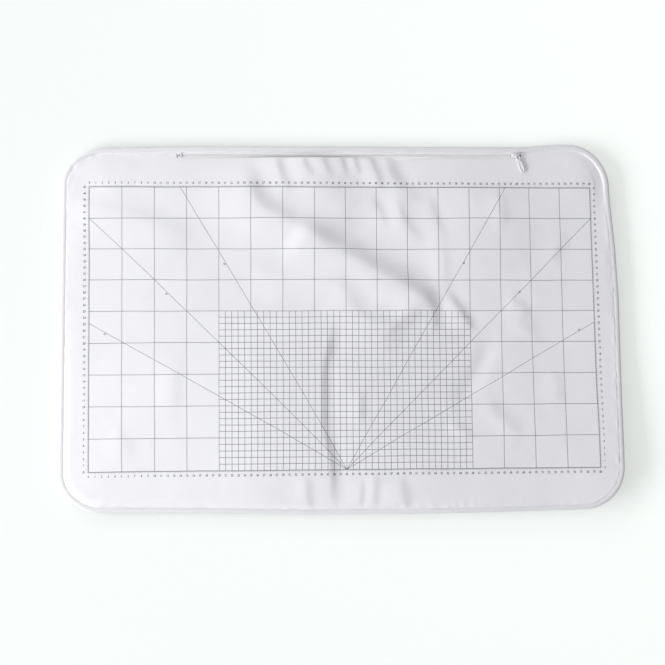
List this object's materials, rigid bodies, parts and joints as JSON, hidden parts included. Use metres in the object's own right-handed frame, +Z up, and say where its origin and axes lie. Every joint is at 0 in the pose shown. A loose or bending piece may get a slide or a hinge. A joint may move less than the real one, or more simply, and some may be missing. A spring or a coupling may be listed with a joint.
{
  "type": "ironing pad",
  "caption": "Flat padded ironing mat with rounded corners, a piped edge, a centimetre grid on its cotton top and a zip along the far edge.",
  "frame": {"origin": "on the surface the pad rests on, under the middle of its outline", "axes": "+X along the pad's length towards the shut end of the zip, +Y across it towards the zipped edge, +Z up through its thickness"},
  "size_m": [0.884, 0.584, 0.0163],
  "materials": {
    "printed_cotton": "matt plain-weave cotton, printed in grey",
    "plain_cotton": "matt plain-weave cotton",
    "bias_cotton": "matt cotton cut on the bias",
    "piping_filler": "twisted cotton cord",
    "white_foam": "open-cell foam",
    "white_wadding": "needled polyester wadding",
    "zip_twill": "woven twill tape",
    "zip_nylon": "smooth nylon",
    "white_enamel": "satin white enamel",
    "stop_metal": "pressed, slightly dull"
  },
  "bodies": {
    "pad": {"top_cover": "printed_cotton", "bottom_cover": "plain_cotton", "piping_strip": "bias_cotton", "piping_cord": "piping_filler", "foam_core": "white_foam", "wadding": "white_wadding", "zip_tape_near": "zip_twill", "zip_tape_far": "zip_twill", "zip_coil_far": "zip_nylon", "zip_coil_near": "zip_nylon", "top_stop_far": "stop_metal", "top_stop_near": "stop_metal", "bottom_stop": "stop_metal"},
    "slider": {"zip_slider": "white_enamel"},
    "link": {"zip_link": "white_enamel"},
    "pull": {"zip_pull": "white_enamel"}
  },
  "joints": [
    {"name": "zip_slide", "type": "slide", "parent": "pad", "child": "slider", "axis": [1, 0, 0], "range_m": [-0.529, 0], "deforming": ["zip_coil_far", "zip_coil_near"]},
    {"name": "link_swivel", "type": "hinge", "parent": "slider", "child": "link", "pos_m": [0.2876, 0.2775, 0.0121], "axis": [0, 0, 1], "range_deg": [-17, 163]},
    {"name": "pull_lift", "type": "hinge", "parent": "link", "child": "pull", "pos_m": [0.28997, 0.26975, 0.0121], "axis": [-0.9563, -0.2924, 0], "range_deg": [0, 150]}
  ]
}
